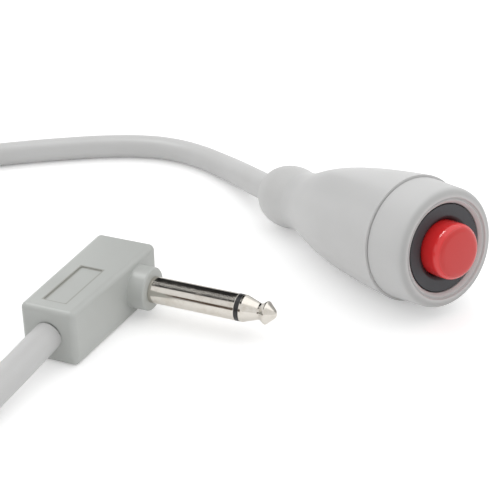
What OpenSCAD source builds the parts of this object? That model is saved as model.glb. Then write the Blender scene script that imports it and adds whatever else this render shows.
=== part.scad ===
// Nurse call button: a pear shaped handset on a lead that ends in a right angle jack plug.
// It lies on its side, nose along +X, with the lead laid on the same surface.
// Origin: middle of the handset's footprint, on the surface. Units are millimetres.

/* [Handset housing] */
// Length of the housing from its neck to the cap
housing_len = 43; // [40:0.5:50]
// Diameter of the neck
neck_d = 15.6; // [14.5:0.1:17]
// Wall thickness of the housing
wall = 2; // [1.4:0.1:2.2]
// How far the handset's axis rises towards the button as it lies, in degrees
lie_tilt = 8.5; // [7:0.1:10]
// Depth of the socket that takes the cap's spigot
socket_depth = 5.6; // [4.5:0.1:8]

/* [Strain relief] */
// Length of the collar behind the housing
collar_len = 13.2; // [11:0.2:18]
// Largest diameter of the collar
collar_d = 16.6; // [16:0.1:18]
// Length over which the collar rounds in to the lead
collar_round = 8; // [5:0.2:8.8]
// Length of the spigot held in the neck
neck_land = 6.6; // [5:0.2:8]
// Diameter of the spigot held in the neck
relief_spigot_d = 10.8; // [9.8:0.1:11.2]
// Thickness of the flange inside the neck
relief_flange_t = 1.5; // [1:0.1:3]

/* [Front cap] */
// Length of the cap from the housing to its front lip
cap_len = 10.9; // [10.4:0.1:14]
// How much smaller the cap is across at its front
cap_taper = 0.9; // [0:0.1:1.6]
// Radius of the rounded front edge
cap_round = 1.8; // [0.8:0.1:2]
// Width of the rim outside the fine step
cap_rim = 2.65; // [2.4:0.05:4]
// How far the housing's edge stands out around the cap
cap_step = 0.6; // [0:0.05:0.8]
// Width of the ring between the bezel and the fine step
face_ring = 1.6; // [1.4:0.1:2.4]
// Thickness of the panel that the switch clamps
panel_t = 1.8; // [1.2:0.1:2.2]
// Wall of the spigot that enters the housing
spigot_wall = 1; // [0.8:0.05:1.4]

/* [Push switch] */
// Width of the bezel outside the barrel
bezel_rim = 2.45; // [2.2:0.05:2.8]
// Thickness of the bezel flange
bezel_t = 1.7; // [1.2:0.1:2]
// How far the bezel lies below the cap's lip
bezel_sink = 1; // [0.6:0.1:1.4]
// Diameter of the switch barrel
barrel_d = 15.9; // [15.5:0.1:16.4]
// Length of the barrel behind the bezel
barrel_len = 18.2; // [17.8:0.2:22]
// Thickness of the rubber washer under the bezel
gasket_t = 0.6; // [0.4:0.1:1]
// Thickness of the steel washer
washer_t = 0.5; // [0.3:0.1:0.8]
// Thickness of the nut
nut_t = 2.8; // [2:0.1:3.6]
// How far the nut's flats stand out from the barrel
nut_rim = 1.55; // [1.2:0.05:1.8]

/* [Button] */
// Wall of the barrel around the button
guide_wall = 1.25; // [1:0.05:1.6]
// How far the button stands out of the bezel
button_out = 5.1; // [3.5:0.1:6]
// Radius of the button's front edge
button_edge = 2.1; // [0.4:0.1:2.4]
// Depth of the button's skirt below the bezel
button_skirt = 5.1; // [4:0.1:5.4]
// How far the button travels
travel = 2.2; // [1.2:0.1:2.4]
// Diameter of the plunger
stem_d = 4; // [3.2:0.1:4.4]
// Diameter of the return spring's wire
spring_wire_d = 0.6; // [0.4:0.05:0.8]

/* [Lead] */
// Diameter of the lead
cord_d = 6.8; // [6.2:0.1:7]
// Radius of the coil's outer turn, to the middle of the lead
coil_outer_r = 50; // [49:0.5:56]
// Number of turns in the coil
coil_turns = 6.264; // [5.264:1:6.264]

/* [Jack plug] */
// Length of the plug's body along the lead
plug_len = 37; // [35:0.5:42]
// Width of the plug's body at the barrel end
plug_w = 15.6; // [14.6:0.1:18]
// Width of the plug's body at the lead end
plug_tail_w = 13.7; // [12.6:0.1:15]
// Thickness of the plug's body
plug_t = 13.6; // [13:0.2:15]
// Rounding of the body's edges
plug_edge = 1.4; // [0.8:0.1:2]
// Diameter of the jack barrel
jack_d = 6.35; // [6.3:0.05:6.4]
// Length of the jack from the boss to its tip
jack_len = 31.1; // [30:0.1:32]
// Length of the tip in front of the insulating ring
tip_len = 8.2; // [7.4:0.1:9]
// Diameter of the boss around the barrel
boss_d = 10.4; // [9.8:0.1:12]
// Length of the boss
boss_len = 4; // [3:0.1:5.5]

/* [Hidden] */

$fn = 96;
// Overrun of every cut
cut = 1;
// Gap at pieces that are pressed or moulded together
snug = 0.02;
// Gap at pieces that slide in by hand
slip = 0.05;
// Gap around the button where it slides in its guide
guide_gap = 0.1;
// Gap left at each end of the button's stroke
stop_gap = 0.1;
// Small bevel on moulded edges that meet
edge = 0.35;

// Stations along the handset's axis, from the rear of the collar to the front
neck_z = collar_len;
land_z = neck_z + neck_land;
seam_z = neck_z + housing_len;
lip_z = seam_z + cap_len;
bezel_z = lip_z - bezel_sink;
flange_z = bezel_z - bezel_t;
panel_z = flange_z - gasket_t;
panel_back_z = panel_z - panel_t;
washer_z = panel_back_z - washer_t;
nut_z = washer_z - nut_t;
barrel_end_z = flange_z - barrel_len;

// Radii that follow the switch: bezel, fine step and housing
barrel_r = barrel_d / 2;
bezel_r = barrel_r + bezel_rim;
step_r = bezel_r + face_ring;
cap_r = step_r + cap_rim;
housing_r = cap_r + cap_step;
button_r = barrel_r - guide_wall - guide_gap;
neck_r = neck_d / 2;
relief_spigot_r = relief_spigot_d / 2;
neck_bore_r = relief_spigot_r + slip;
seal_t = 0.8;
seal_w = 0.6;
seal_r = housing_r - wall;
spigot_r = seal_r - slip;
cap_inner_r = spigot_r - spigot_wall;
cap_front_r = cap_r - cap_taper / 2;
bead_h = 0.2;
bead_half = 0.5;
spigot_gap = 0.4;
spigot_end_z = seam_z - socket_depth + spigot_gap;
bead_z = spigot_end_z + bead_half + edge;
// Pull of the side's curve at the neck and at the shoulder, as shares of its length and rise
neck_pull_share = 0.2;
shoulder_pull_share = 0.16;
shoulder_rise_share = 0.68;
side_steps = 20;
side = bezier(
    [neck_z + edge, neck_r],
    [neck_z + neck_pull_share * housing_len, neck_r],
    [neck_z + shoulder_pull_share * housing_len, neck_r + shoulder_rise_share * (housing_r - neck_r)],
    [seam_z - edge, housing_r],
    side_steps
);

// Strain relief and the end of the lead inside the housing
cord_r = cord_d / 2;
relief_bore_r = cord_r + slip;
collar_lip = 0.8;
collar_tip_r = relief_bore_r + collar_lip;
collar_steps = 10;
collar_r = collar_d / 2;
relief_flange_w = 0.9;
relief_flange_r = relief_spigot_r + relief_flange_w;
ferrule_z = land_z + relief_flange_t;
ferrule_len = 4;
ferrule_t = 0.7;
jacket_past_ferrule = 2;
jacket_end_z = ferrule_z + ferrule_len + jacket_past_ferrule;
collar_arc = [
    for (i = [0 : collar_steps])
    let (a = 90 * i / collar_steps)
    [collar_tip_r + (collar_r - collar_tip_r) * sin(a), collar_round * (1 - cos(a))]
];
collar_waist = [
    for (i = [1 : collar_steps])
    let (t = i / collar_steps)
    [collar_r + (neck_r - collar_r) * ease(t), collar_round + (neck_z - edge - collar_round) * t]
];

// Front face of the cap
round_steps = 8;
step_w = 0.35;
step_deep = 0.5;
ring_drop = 0.3;
recess_gap = 0.2;
recess_r = bezel_r + recess_gap;
recess_bevel = 0.35;

// Switch body
bezel_bevel = 0.3;
guide_r = button_r + guide_gap;
well_w = 0.9;
well_deep = 0.5;
web_t = 2.6;
web_gap = 0.8;
skirt_z = bezel_z - button_skirt;
web_top_z = skirt_z - travel - web_gap;
web_z = web_top_z - web_t;
chamber_wall = 1.4;
chamber_r = barrel_r - chamber_wall;
stem_r = stem_d / 2;
stem_hole_r = stem_r + slip;
washer_r = barrel_r + bezel_rim;
gasket_w = 2;

// Button and plunger
face_z = bezel_z + button_out;
face_dome = 0.2;
button_top_t = 1.7;
skirt_wall = 1.1;
ceiling_z = face_z - button_top_t;
hub_wall = 1.3;
hub_r = stem_r + hub_wall;
hub_len = 3.6;
stem_top_z = ceiling_z - stop_gap;
stop_r = 3.2;
stop_t = 1.8;
stop_z = web_z - stop_gap - stop_t;
bridge_t = 0.6;
bridge_z = stop_z - bridge_t;
bridge_pin_r = 1.2;
retainer_t = 0.5;
retainer_r = 1.9;
stem_foot = 0.4;
stem_end_z = bridge_z - retainer_t - stem_foot;
bridge_half = 3.4;
bridge_w = 3;

// Return spring
spring_r = (hub_r + button_r - skirt_wall) / 2;
spring_wire_r = spring_wire_d / 2;
spring_curls = 6;
spring_rings = 8;
spring_sides = 6;

// Contacts and the switch's base
contact_z = bridge_z - travel - stop_gap;
contact_t = retainer_t + stem_foot + 2 * stop_gap;
contact_r = 1.1;
base_top_z = contact_z - contact_t;
base_flange_t = 1.6;
base_z = barrel_end_z - base_flange_t;
blade_w = 2.8;
blade_t = 0.5;
blade_below = 5.4;
blade_z = base_z - blade_below;
lug_hole_r = 0.6;
sleeve_r = 1.9;
sleeve_wall = 0.25;
sleeve_len = 4.6;
sleeve_down = 1.4;

// Two insulated wires inside the handset
wire_r = 0.65;
wire_sides = 8;
wire_steps = 10;
wire_start = 1.5;

// How the handset lies: on the belly of its side
button_arc = [
    for (i = [0 : round_steps])
    let (a = 90 * i / round_steps)
    [button_r - button_edge * (1 - cos(a)), face_z - button_edge * (1 - sin(a))]
];
cap_arc = [
    for (i = [0 : round_steps])
    let (a = 90 * i / round_steps)
    [cap_front_r - cap_round * (1 - cos(a)), lip_z - cap_round * (1 - sin(a))]
];
seam_edge = [[housing_r, seam_z - edge], [cap_r, seam_z + edge]];
outline = concat(collar_arc, collar_waist, [for (p = side) [p[1], p[0]]], seam_edge, cap_arc, button_arc);
lift = max([for (p = outline) p[0] * cos(lie_tilt) - p[1] * sin(lie_tilt)]);
rear_x = min([for (p = outline) p[1] * cos(lie_tilt) - p[0] * sin(lie_tilt)]);
nose_x = max([for (p = outline) p[1] * cos(lie_tilt) + p[0] * sin(lie_tilt)]);
mid_x = (rear_x + nose_x) / 2;

// Jack plug: the barrel runs along +X of its own frame, the body towards -Y
plug_place = [-20, -60];
plug_turn = 31;
plug_head_share = 0.26;
plug_head = plug_len * plug_head_share;
plug_tail = plug_len - plug_head;
plug_side = plug_w / 2;
boss_x = plug_side + boss_len;
jack_r = jack_d / 2;
ring_t = 1.1;
sleeve_end_x = boss_x + jack_len - tip_len - ring_t;
tip_x = sleeve_end_x + ring_t;
tip_end_x = boss_x + jack_len;
jack_flange_t = 1.6;
jack_flange_r = 4.3;
jack_root = 6;
jack_root_in = 0.4;
jack_root_x = boss_x - jack_root - jack_flange_t;
jack_root_r = jack_r - jack_root_in;
rod_r = 1.25;
rod_back = 3;
tube_wall = 0.95;
tube_r = rod_r + tube_wall;
jack_bore_r = tube_r + snug;
rod_bore_r = rod_r + snug;
lug_t = 0.5;
lug_r = 2.6;
lug_w = 2.4;
lug_drop = 6.5;
tip_lug_x = -rod_back;
tube_back = 1.2;
sleeve_lug_x = jack_root_x - lug_t - slip;
plug_tail_inside = 13;
plug_wire_start = 1.5;
plug_wire_gap = 0.3;
end_steps = 4;
corner_steps = 4;
corner_share = 0.6;
panel_long = 16.5;
panel_wide = 5.7;
panel_deep = 0.3;
panel_from_tail = 12;
// Places along the tip and its radii, as shares of its length and of the barrel's radius
tip_shares = [
    [0, 1], [0.07, 1], [0.5, 0.62], [0.56, 0.62], [0.7, 0.86], [0.74, 0.86],
    [0.95, 0.36], [1, 0.22],
];

// The lead's route, in round numbers: from the handset to the coil, and from the coil to the plug
cord_sides = 10;
run_route = [
    [-45, 1.6, 6.45], [-55, 3.35, 4.8], [-66, 3.75, 3.55], [-77, 2.2, 3.4], [-86, -1.5, 3.4],
    [-93, -7.2, 3.4], [-99.3, -15.5, 3.4], [-104.9, -25.7, 3.4], [-110.2, -37, 3.4], [-115, -49, 3.4],
    [-120, -61.5, 3.4], [-124, -75, 3.4], [-127, -88.5, 3.4], [-129, -102, 3.4],
    [-130.5, -113, 3.4],
];
end_route = [
    [-54, -178, 10], [-42, -177, 7.6], [-31, -175.5, 5], [-20, -172.5, 3.7], [-9, -167, 3.4],
    [1, -158.5, 3.4], [8, -148, 3.4], [12.5, -136, 3.4], [13, -124, 3.4], [10, -112.5, 3.7],
    [4.5, -101.5, 5],
];
coil_place = [-81, -130];
coil_sides = 6;
coil_rings = 24;
coil_start_angle = 180;
turn_pitch_gap = 0.5;
turn_pitch = cord_d + turn_pitch_gap;
layer_gap = 0.5;
layer_rise = cord_d + layer_gap;
climb_turns = 0.5;
coil_end_angle = coil_start_angle + 360 * coil_turns;

coil_steps = round(coil_turns * coil_rings);
coil_path = concat(
    [coil_point(0) - cord_d * heading(coil_start_angle)],
    [for (i = [0 : coil_steps]) coil_point(coil_turns * i / coil_steps)],
    [coil_point(coil_turns) + cord_d * heading(coil_end_angle)]
);
exit_point = on_handset([0, 0, 0]);
exit_heading = [-cos(lie_tilt), 0, -sin(lie_tilt)];
plug_entry = on_plug([0, -plug_tail, 0]);
plug_heading = [-sin(plug_turn), cos(plug_turn), 0];
run_path = concat([exit_point], run_route, [coil_path[0]]);
end_path = concat([coil_path[len(coil_path) - 1]], end_route, [plug_entry]);

echo(lead_length_mm = path_length(run_path) + path_length(coil_path) + path_length(end_path));
echo(coil_least_gap_mm = least_gap(coil_path, coil_rings) - cord_d);
echo(spring_least_gap_mm = least_gap(spring_path(), spring_rings) - spring_wire_d);

// A cubic curve as a list of points
function bezier(a, b, c, d, steps) = [
    for (i = [0 : steps])
    let (t = i / steps, u = 1 - t)
    u * u * u * a + 3 * u * u * t * b + 3 * u * t * t * c + t * t * t * d
];

function unit(v) = v / norm(v);

function total(list, i = 0) = i < len(list) ? list[i] + total(list, i + 1) : 0;

function path_length(path) = total([for (i = [1 : len(path) - 1]) norm(path[i] - path[i - 1])]);

// A point of the handset's own frame and of the plug's own frame, where they lie
function on_handset(p) = [
    p[0] * sin(lie_tilt) + p[2] * cos(lie_tilt) - mid_x,
    p[1],
    lift - p[0] * cos(lie_tilt) + p[2] * sin(lie_tilt)
];

function on_plug(p) = [
    plug_place[0] + p[0] * cos(plug_turn) - p[1] * sin(plug_turn),
    plug_place[1] + p[0] * sin(plug_turn) + p[1] * cos(plug_turn),
    plug_t / 2 + p[2]
];

// Direction of travel round the coil at an angle
function heading(angle) = [-sin(angle), cos(angle), 0];

// A smooth rise from 0 to 1
function ease(t) = t <= 0 ? 0 : t >= 1 ? 1 : (1 - cos(180 * t)) / 2;

// The coil spirals in, climbs a layer in the half turn where it reverses, and spirals out again
function coil_point(turn) =
    let (
        angle = coil_start_angle + 360 * turn,
        r = coil_outer_r - turn_pitch * min(turn, coil_turns - turn),
        climb = ease((turn - coil_turns / 2) / climb_turns + climb_turns)
    )
    [coil_place[0] + r * cos(angle), coil_place[1] + r * sin(angle), cord_r + layer_rise * climb];

// The spring's middle line, from the web to the underside of the button
function spring_path() = [
    for (i = [0 : spring_curls * spring_rings])
    let (
        share = i / (spring_curls * spring_rings),
        low = web_top_z + spring_wire_r + snug,
        high = ceiling_z - spring_wire_r - snug
    )
    [
        spring_r * cos(360 * spring_curls * share),
        spring_r * sin(360 * spring_curls * share),
        low + (high - low) * share
    ]
];

// Least distance between points of a winding that are at least half a turn apart
function least_gap(path, per_turn) = min([
    for (i = [0 : len(path) - 1], j = [i + per_turn / 2 : 1 : len(path) - 1])
    norm(path[i] - path[j])
]);

// Direction of a path at one of its points
function along(path, i, first, last) =
    i == 0 ? first
    : i == len(path) - 1 ? last
    : unit(unit(path[i + 1] - path[i]) + unit(path[i] - path[i - 1]));

// A closed skin over sections with the same number of points, counter-clockwise seen from ahead
module skin(sections) {
    m = len(sections[0]);
    e = (len(sections) - 1) * m;
    walls = [
        for (i = [0 : len(sections) - 2], k = [0 : m - 1])
        let (
            a = i * m + k,
            b = i * m + (k + 1) % m
        )
        each [[a, b + m, b], [a, a + m, b + m]]
    ];
    caps = [for (k = [1 : m - 2]) each [[0, k, k + 1], [e, e + k + 1, e + k]]];
    polyhedron(points = [for (s = sections) each s], faces = concat(walls, caps), convexity = 10);
}

// A tube swept along a path, with its end faces square to the given directions
module tube(path, r, sides, first, last) {
    skin([
        for (i = [0 : len(path) - 1])
        let (
            t = along(path, i, first, last),
            across = unit(cross(t, [0, 0, 1])),
            up = cross(across, t)
        )
        [
            for (k = [0 : sides - 1])
            let (a = 360 * k / sides)
            path[i] + r * (cos(a) * up + sin(a) * across)
        ]
    ]);
}

// A round bar between two points
module bar(p, q, r) {
    d = q - p;
    translate(p)
        rotate([0, acos(d[2] / norm(d)), atan2(d[1], d[0])])
        cylinder(h = norm(d), r = r);
}

// A ring or disc on the handset's axis
module ring(z, t, inner, outer) {
    translate([0, 0, z])
        rotate_extrude()
        translate([inner, 0])
        square([outer - inner, t]);
}

module in_handset() {
    translate([-mid_x, 0, lift]) rotate([0, 90 - lie_tilt, 0]) children();
}

module in_plug() {
    translate([plug_place[0], plug_place[1], plug_t / 2]) rotate([0, 0, plug_turn]) children();
}

// One moulded shell: a neck that holds the strain relief and a mouth that takes the cap
module pear_housing() {
    inner_steps = 14;
    socket_z = seam_z - socket_depth;
    inside = [
        for (i = [inner_steps : -1 : 0])
        let (z = land_z + (socket_z - land_z) * i / inner_steps)
        [min(lookup(z, side) - wall, seal_r), z]
    ];
    snap = [
        [seal_r, bead_z + bead_half + slip],
        [seal_r + bead_h, bead_z],
        [seal_r, bead_z - bead_half - slip],
    ];
    color([0.84, 0.84, 0.83])
        in_handset()
        rotate_extrude()
        polygon(concat(
            [[neck_bore_r, neck_z], [neck_r - edge, neck_z]],
            [for (p = side) [p[1], p[0]]],
            [
                [housing_r - edge, seam_z],
                [seal_r + seal_w, seam_z],
                [seal_r + seal_w, seam_z - seal_t],
                [seal_r, seam_z - seal_t],
            ],
            snap,
            [[seal_r, socket_z]],
            inside,
            [[neck_bore_r, land_z]]
        ));
}

// Soft collar moulded round the lead, snapped into the neck
module strain_relief() {
    color([0.8, 0.8, 0.79])
        in_handset()
        rotate_extrude()
        polygon(concat(
            [[relief_bore_r, 0]],
            collar_arc,
            collar_waist,
            [
                [neck_r - edge, neck_z],
                [relief_spigot_r, neck_z],
                [relief_spigot_r, land_z],
                [relief_flange_r, land_z],
                [relief_flange_r, land_z + relief_flange_t],
                [relief_bore_r, land_z + relief_flange_t],
            ]
        ));
}

// End of the lead's jacket inside the handset
module cord_tail() {
    color([0.82, 0.82, 0.81])
        in_handset()
        cylinder(h = jacket_end_z, r = cord_r);
}

// Crimped ring that keeps the lead from pulling out
module cord_ferrule() {
    color([0.75, 0.75, 0.76])
        in_handset()
        ring(ferrule_z, ferrule_len, cord_r + snug, cord_r + snug + ferrule_t);
}

// Front cap: side wall, rounded lip, fine step, switch panel and the spigot with its snap bead
module front_cap() {
    ring_r = step_r - step_w;
    color([0.84, 0.84, 0.83])
        in_handset()
        rotate_extrude()
        polygon(concat(
            [[spigot_r, seam_z], [cap_r - edge, seam_z], [cap_r, seam_z + edge]],
            cap_arc,
            [
                [step_r, lip_z],
                [step_r, lip_z - step_deep],
                [ring_r, lip_z - step_deep],
                [ring_r, lip_z - ring_drop],
                [recess_r + recess_bevel, bezel_z + bezel_bevel],
                [recess_r, bezel_z],
                [recess_r, panel_z],
                [barrel_r + guide_gap, panel_z],
                [barrel_r + guide_gap, panel_back_z],
                [cap_inner_r, panel_back_z],
                [cap_inner_r, spigot_end_z],
                [spigot_r - edge, spigot_end_z],
                [spigot_r, spigot_end_z + edge],
                [spigot_r, bead_z - bead_half],
                [spigot_r + bead_h, bead_z],
                [spigot_r, bead_z + bead_half],
            ]
        ));
}

// Rubber seal between the cap and the housing
module cap_seal() {
    color([0.15, 0.15, 0.15])
        in_handset()
        ring(seam_z - seal_t + snug, seal_t - snug, seal_r + snug, seal_r + seal_w - snug);
}

// Bezel and barrel of the push switch, in one moulding with the button's guide and the web
module switch_body() {
    color([0.27, 0.27, 0.28])
        in_handset()
        rotate_extrude()
        polygon([
            [bezel_r - bezel_bevel, bezel_z],
            [bezel_r, bezel_z - bezel_bevel],
            [bezel_r, flange_z],
            [barrel_r, flange_z],
            [barrel_r, barrel_end_z],
            [chamber_r, barrel_end_z],
            [chamber_r, web_z],
            [stem_hole_r, web_z],
            [stem_hole_r, web_top_z],
            [guide_r, web_top_z],
            [guide_r, bezel_z - well_deep],
            [guide_r + well_w, bezel_z],
        ]);
}

// Rubber washer under the bezel
module bezel_gasket() {
    color([0.12, 0.12, 0.12])
        in_handset()
        ring(panel_z, gasket_t, barrel_r + guide_gap, barrel_r + guide_gap + gasket_w);
}

// Steel washer behind the panel
module lock_washer() {
    color([0.7, 0.7, 0.72])
        in_handset()
        ring(washer_z, washer_t, barrel_r + guide_gap, washer_r);
}

// Hexagon nut that clamps the switch to the panel
module mounting_nut() {
    color([0.72, 0.72, 0.74])
        in_handset()
        translate([0, 0, nut_z])
        difference() {
            cylinder(h = nut_t, r = (barrel_r + nut_rim) / cos(30), $fn = 6);
            translate([0, 0, -cut]) cylinder(h = nut_t + 2 * cut, r = barrel_r + slip);
        }
}

// The red button that is pressed, a cap with a hub for the plunger
module button_cap() {
    color([0.8, 0.13, 0.14])
        in_handset()
        rotate_extrude()
        polygon(concat(
            [
                [0, stem_top_z + stop_gap],
                [stem_r + snug, stem_top_z + stop_gap],
                [stem_r + snug, ceiling_z - hub_len],
                [hub_r, ceiling_z - hub_len],
                [hub_r, ceiling_z],
                [button_r - skirt_wall, ceiling_z],
                [button_r - skirt_wall, skirt_z],
                [button_r, skirt_z],
            ],
            button_arc,
            [[0, face_z + face_dome]]
        ));
}

// Plunger: pressed into the button, with a stop below the web and a pin for the bridge
module plunger() {
    color([0.9, 0.9, 0.88])
        in_handset()
        rotate_extrude()
        polygon([
            [0, stem_end_z],
            [bridge_pin_r, stem_end_z],
            [bridge_pin_r, stop_z],
            [stop_r, stop_z],
            [stop_r, stop_z + stop_t],
            [stem_r, stop_z + stop_t],
            [stem_r, stem_top_z],
            [0, stem_top_z],
        ]);
}

// Spring that lifts the button again
module return_spring() {
    color([0.75, 0.75, 0.77])
        in_handset()
        tube(spring_path(), spring_wire_r, spring_sides, heading(0), heading(0));
}

// Brass bar that joins the two contacts when the button is pressed
module contact_bridge() {
    color([0.85, 0.68, 0.32])
        in_handset()
        translate([0, 0, bridge_z])
        linear_extrude(height = bridge_t)
        difference() {
            union() {
                square([2 * bridge_half, bridge_w], center = true);
                for (side_sign = [-1, 1])
                    translate([side_sign * bridge_half, 0]) circle(d = bridge_w);
            }
            circle(r = bridge_pin_r + snug);
        }
}

// Push nut that holds the bridge on the plunger
module bridge_retainer() {
    color([0.7, 0.7, 0.72])
        in_handset()
        ring(bridge_z - retainer_t, retainer_t, bridge_pin_r + snug, retainer_r);
}

// Flat blade of a terminal, or with a gap around it the slot that it goes through
module blade(low_z, high_z, gap) {
    translate([-blade_w / 2 - gap, -blade_t / 2 - gap, low_z])
        cube([blade_w + 2 * gap, blade_t + 2 * gap, high_z - low_z]);
}

// Rear of the switch: a plug that closes the barrel and carries the terminals
module switch_base() {
    color([0.2, 0.2, 0.21])
        in_handset()
        difference() {
            rotate_extrude()
                polygon([
                    [0, base_z],
                    [barrel_r, base_z],
                    [barrel_r, barrel_end_z],
                    [chamber_r - slip, barrel_end_z],
                    [chamber_r - slip, base_top_z],
                    [0, base_top_z],
                ]);
            for (side_sign = [-1, 1])
                translate([side_sign * bridge_half, 0, 0])
                blade(base_z - cut, base_top_z + cut, snug);
        }
}

// Two fixed contacts with their solder blades
module terminals() {
    color([0.85, 0.68, 0.32])
        in_handset()
        for (side_sign = [-1, 1])
            translate([side_sign * bridge_half, 0, 0]) {
                translate([0, 0, base_top_z]) cylinder(h = contact_t, r = contact_r);
                difference() {
                    blade(blade_z, base_top_z, 0);
                    translate([0, blade_t, blade_z + blade_w / 2])
                        rotate([90, 0, 0])
                        cylinder(h = 2 * blade_t, r = lug_hole_r);
                }
            }
}

// Shrink sleeves over the soldered joints
module terminal_sleeves() {
    color([0.1, 0.1, 0.1])
        in_handset()
        for (side_sign = [-1, 1])
            translate([side_sign * bridge_half, 0, 0])
            ring(blade_z - sleeve_down, sleeve_len, sleeve_r - sleeve_wall, sleeve_r);
}

// Two insulated wires from the lead to the terminals
module lead_wires() {
    top_z = blade_z - stop_gap;
    color([0.3, 0.3, 0.6])
        in_handset()
        for (side_sign = [-1, 1]) {
            skin([
                for (i = [0 : wire_steps])
                let (
                    t = i / wire_steps,
                    x = side_sign * (wire_start + (bridge_half - wire_start) * ease(t)),
                    z = jacket_end_z + (top_z - jacket_end_z) * t
                )
                [
                    for (k = [0 : wire_sides - 1])
                    let (a = 360 * k / wire_sides)
                    [x + wire_r * cos(a), wire_r * sin(a), z]
                ]
            ]);
        }
}

// Lead from the handset to the coil
module cord_run() {
    color([0.82, 0.82, 0.81])
        tube(run_path, cord_r, cord_sides, exit_heading, heading(coil_start_angle));
}

// The rest of the lead, put away as a flat round coil
module cord_coil() {
    color([0.82, 0.82, 0.81])
        tube(
            coil_path, cord_r, coil_sides,
            heading(coil_start_angle), heading(coil_end_angle)
        );
}

// Lead from the coil to the plug
module cord_end() {
    color([0.82, 0.82, 0.81])
        tube(end_path, cord_r, cord_sides, heading(coil_end_angle), plug_heading);
}

// Outer form of the plug's body: a tapered block with rounded edges, lofted from end to end
module plug_block() {
    head = [for (i = [0 : end_steps]) block_section(plug_head, plug_w, -1, 90 * i / end_steps)];
    tail = [
        for (i = [0 : end_steps])
        block_section(-plug_tail, plug_tail_w, 1, 90 - 90 * i / end_steps)
    ];
    skin(concat(head, tail));
}

// One section across the body near an end, drawn in by the rounding of that end
function block_section(end_y, width, inward, a) =
    let (
        inset = plug_edge * (1 - sin(a)),
        y = end_y + inward * plug_edge * (1 - cos(a)),
        r = plug_edge - corner_share * inset,
        half_w = width / 2 - inset - r,
        half_t = plug_t / 2 - inset - r
    )
    [
        for (corner = [0 : 3], i = [0 : corner_steps])
        let (
            b = 90 * corner + 90 * i / corner_steps,
            sx = corner == 0 || corner == 3 ? 1 : -1,
            sz = corner < 2 ? 1 : -1
        )
        [sx * half_w + r * cos(b), y, sz * half_t + r * sin(b)]
    ];

// Moulded body with the boss, the bare recessed panel and the places of what it holds
module plug_body() {
    color([0.78, 0.79, 0.78])
        in_plug()
        difference() {
            union() {
                plug_block();
                rotate([0, 90, 0]) cylinder(h = boss_x, d = boss_d);
            }
            translate([-panel_wide / 2, panel_from_tail - plug_tail - panel_long / 2,
                plug_t / 2 - panel_deep])
                cube([panel_wide, panel_long, panel_deep + cut]);
            jack_solid(jack_root_x, jack_flange_t + snug, jack_flange_r + snug);
            jack_solid(jack_root_x, jack_root + jack_flange_t + cut, jack_root_r + snug);
            jack_solid(tip_lug_x - lug_t - snug, boss_x - tip_lug_x, tube_r + snug);
            lug(tip_lug_x - lug_t, snug);
            lug(sleeve_lug_x, snug);
            translate([0, -plug_tail - cut, 0])
                rotate([-90, 0, 0])
                cylinder(h = plug_tail_inside + cut, r = cord_r + snug);
            plug_wire(-1, wire_r + snug);
            plug_wire(1, wire_r + snug);
        }
}

// A cylinder on the jack's axis
module jack_solid(x, length, r) {
    translate([x, 0, 0]) rotate([0, 90, 0]) cylinder(h = length, r = r);
}

// A ring on the jack's axis
module jack_ring(x, length, inner, outer) {
    translate([x, 0, 0]) rotate([0, 90, 0]) ring(0, length, inner, outer);
}

// A round lug with a tail that takes a wire
module lug(x, gap) {
    jack_solid(x - gap, lug_t + 2 * gap, lug_r + gap);
    translate([x - gap, -lug_drop - gap, -lug_w / 2 - gap])
        cube([lug_t + 2 * gap, lug_drop + gap, lug_w + 2 * gap]);
}

// End of the lead's jacket inside the plug
module plug_cord_tail() {
    color([0.82, 0.82, 0.81])
        in_plug()
        translate([0, -plug_tail, 0])
        rotate([-90, 0, 0])
        cylinder(h = plug_tail_inside, r = cord_r);
}

// One wire inside the plug, from the jacket to a lug
module plug_wire(side_sign, r) {
    start_y = plug_tail_inside - plug_tail + plug_wire_gap;
    lug_x = side_sign < 0 ? tip_lug_x - lug_t - wire_r - slip : sleeve_lug_x + lug_t + wire_r + slip;
    bar([side_sign * plug_wire_start, start_y, 0], [lug_x, -lug_drop, 0], r);
}

module plug_wires() {
    color([0.3, 0.3, 0.6])
        in_plug() {
            plug_wire(-1, wire_r);
            plug_wire(1, wire_r);
        }
}

// Nickel plated sleeve of the jack, with the flange that anchors it
module plug_sleeve() {
    color([0.8, 0.79, 0.76])
        in_plug()
        union() {
            jack_ring(jack_root_x, jack_flange_t, jack_bore_r, jack_flange_r);
            jack_ring(jack_root_x, sleeve_end_x - jack_root_x, jack_bore_r, jack_root_r);
            jack_ring(boss_x + snug, sleeve_end_x - boss_x - snug, jack_bore_r, jack_r);
        }
}

// Black ring that keeps the tip apart from the sleeve
module plug_insulating_ring() {
    color([0.06, 0.06, 0.06])
        in_plug()
        jack_ring(sleeve_end_x, ring_t, rod_bore_r, jack_r);
}

// Insulating tube around the rod
module plug_rod_tube() {
    color([0.9, 0.9, 0.88])
        in_plug()
        jack_ring(-tube_back, sleeve_end_x + tube_back, rod_bore_r, tube_r);
}

// Tip of the jack with its rod
module plug_tip() {
    color([0.8, 0.79, 0.76])
        in_plug()
        rotate([0, 90, 0])
        rotate_extrude()
        polygon(concat(
            [[0, tip_lug_x], [rod_r, tip_lug_x], [rod_r, tip_x]],
            [for (s = tip_shares) [jack_r * s[1], tip_x + tip_len * s[0]]],
            [[0, tip_end_x]]
        ));
}

// Lug on the rear end of the rod
module tip_lug() {
    color([0.85, 0.68, 0.32])
        in_plug()
        lug(tip_lug_x - lug_t, 0);
}

// Lug behind the sleeve's flange
module sleeve_lug() {
    color([0.85, 0.68, 0.32])
        in_plug()
        difference() {
            lug(sleeve_lug_x, 0);
            jack_solid(sleeve_lug_x - cut, lug_t + 2 * cut, jack_bore_r);
        }
}

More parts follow.
